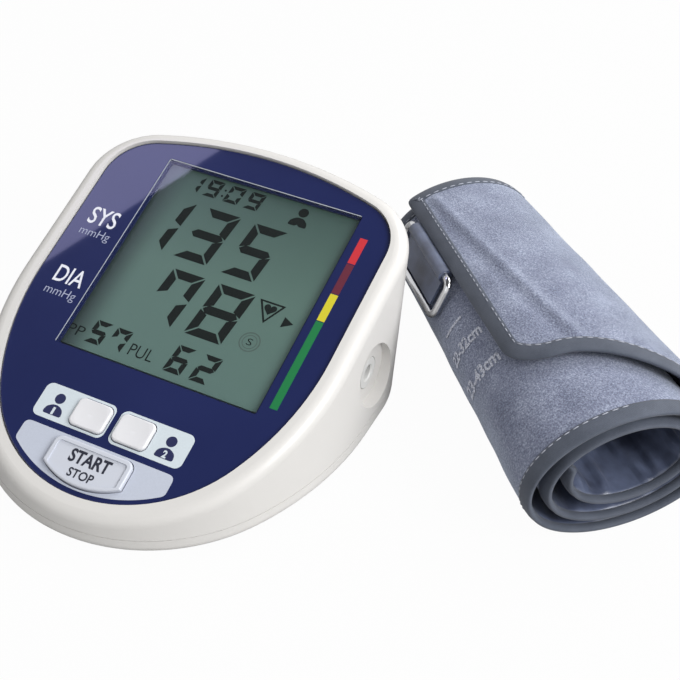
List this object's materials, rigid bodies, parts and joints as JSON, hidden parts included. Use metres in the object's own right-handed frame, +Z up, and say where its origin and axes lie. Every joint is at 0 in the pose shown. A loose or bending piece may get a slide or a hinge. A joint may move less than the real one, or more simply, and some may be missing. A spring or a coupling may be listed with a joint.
{
  "type": "upper-arm blood pressure monitor",
  "caption": "Table-top blood pressure monitor with a tilted display, three keys, a sliding battery door and a separate rolled upper-arm cuff.",
  "frame": {"origin": "middle of the base of the whole set's box, on the table", "axes": "+X to the monitor's right, where the cuff lies; +Y from the monitor's front to its back; +Z up"},
  "size_m": [0.2318, 0.185, 0.0548],
  "materials": {
    "case_white": "gloss",
    "door_white": "satin",
    "screw_steel": "plain",
    "foot_rubber": "matt",
    "plate_navy": "gloss",
    "window_clear": "clear",
    "lcd_grey": "satin",
    "frame_grey": "matt",
    "strip_rubber": "matt",
    "start_grey": "satin",
    "key_white": "satin",
    "mat_rubber": "matt",
    "board_green": "satin",
    "chip_black": "matt",
    "sensor_white": "matt",
    "cell_wrap": "satin",
    "contact_nickel": "plain",
    "pump_steel": "plain",
    "foam_black": "foam",
    "valve_steel": "plain",
    "block_grey": "matt",
    "tube_silicone": "satin",
    "socket_grey": "satin",
    "jack_black": "satin",
    "velour_blue_grey": "loop pile",
    "liner_navy": "coated nylon",
    "bladder_film": "film",
    "binding_tape": "woven tape",
    "hook_tape": "hook pile",
    "bow_chrome": "polished"
  },
  "bodies": {
    "monitor": {"upper_case": "case_white", "lower_case": "case_white", "case_screws": "screw_steel", "rubber_feet": "foot_rubber", "face_plate": "plate_navy", "display_window": "window_clear", "lcd_glass": "lcd_grey", "lcd_frame": "frame_grey", "contact_strips": "strip_rubber", "key_mat": "mat_rubber", "main_board": "board_green", "board_screws": "screw_steel", "board_chips": "chip_black", "pressure_sensor": "sensor_white", "buzzer": "chip_black", "battery_cells": "cell_wrap", "battery_contacts": "contact_nickel", "battery_springs": "contact_nickel", "air_pump": "pump_steel", "pump_cradle": "foam_black", "air_valve": "valve_steel", "air_block": "block_grey", "air_tubes": "tube_silicone", "air_socket": "socket_grey", "power_jack": "jack_black"},
    "start_button": {"start_key": "start_grey"},
    "user_1_button": {"user_key_1": "key_white"},
    "user_2_button": {"user_key_2": "key_white"},
    "battery_cover": {"battery_door": "door_white"},
    "cuff": {"cuff_cover": "velour_blue_grey", "inner_cover": "velour_blue_grey", "cuff_liner": "liner_navy", "cuff_bladder": "bladder_film", "binding_near": "binding_tape", "binding_far": "binding_tape", "binding_flap": "binding_tape", "hook_patch": "hook_tape", "bow_hem": "liner_navy"},
    "bow": {"metal_bow": "bow_chrome"}
  },
  "joints": [
    {"name": "start_press", "type": "slide", "parent": "monitor", "child": "start_button", "axis": [0, 0.309, -0.9511], "range_m": [0, 0.0008], "stiffness_N_per_m": 900, "springref_m": -0.0004},
    {"name": "user_1_press", "type": "slide", "parent": "monitor", "child": "user_1_button", "axis": [0, 0.309, -0.9511], "range_m": [0, 0.0008], "stiffness_N_per_m": 900, "springref_m": -0.0004},
    {"name": "user_2_press", "type": "slide", "parent": "monitor", "child": "user_2_button", "axis": [0, 0.309, -0.9511], "range_m": [0, 0.0008], "stiffness_N_per_m": 900, "springref_m": -0.0004},
    {"name": "battery_door_slide", "type": "slide", "parent": "monitor", "child": "battery_cover", "axis": [0, 1, 0], "range_m": [0, 0.014]},
    {"name": "cuff_lift", "type": "slide", "parent": "monitor", "child": "cuff", "axis": [0, 0, 1], "range_m": [0, 0.08]},
    {"name": "bow_swing", "type": "hinge", "parent": "cuff", "child": "bow", "pos_m": [0.01929, 0.02357, 0.03799], "axis": [-0.6756, 0.7329, -0.0799], "range_deg": [0, 15]}
  ]
}
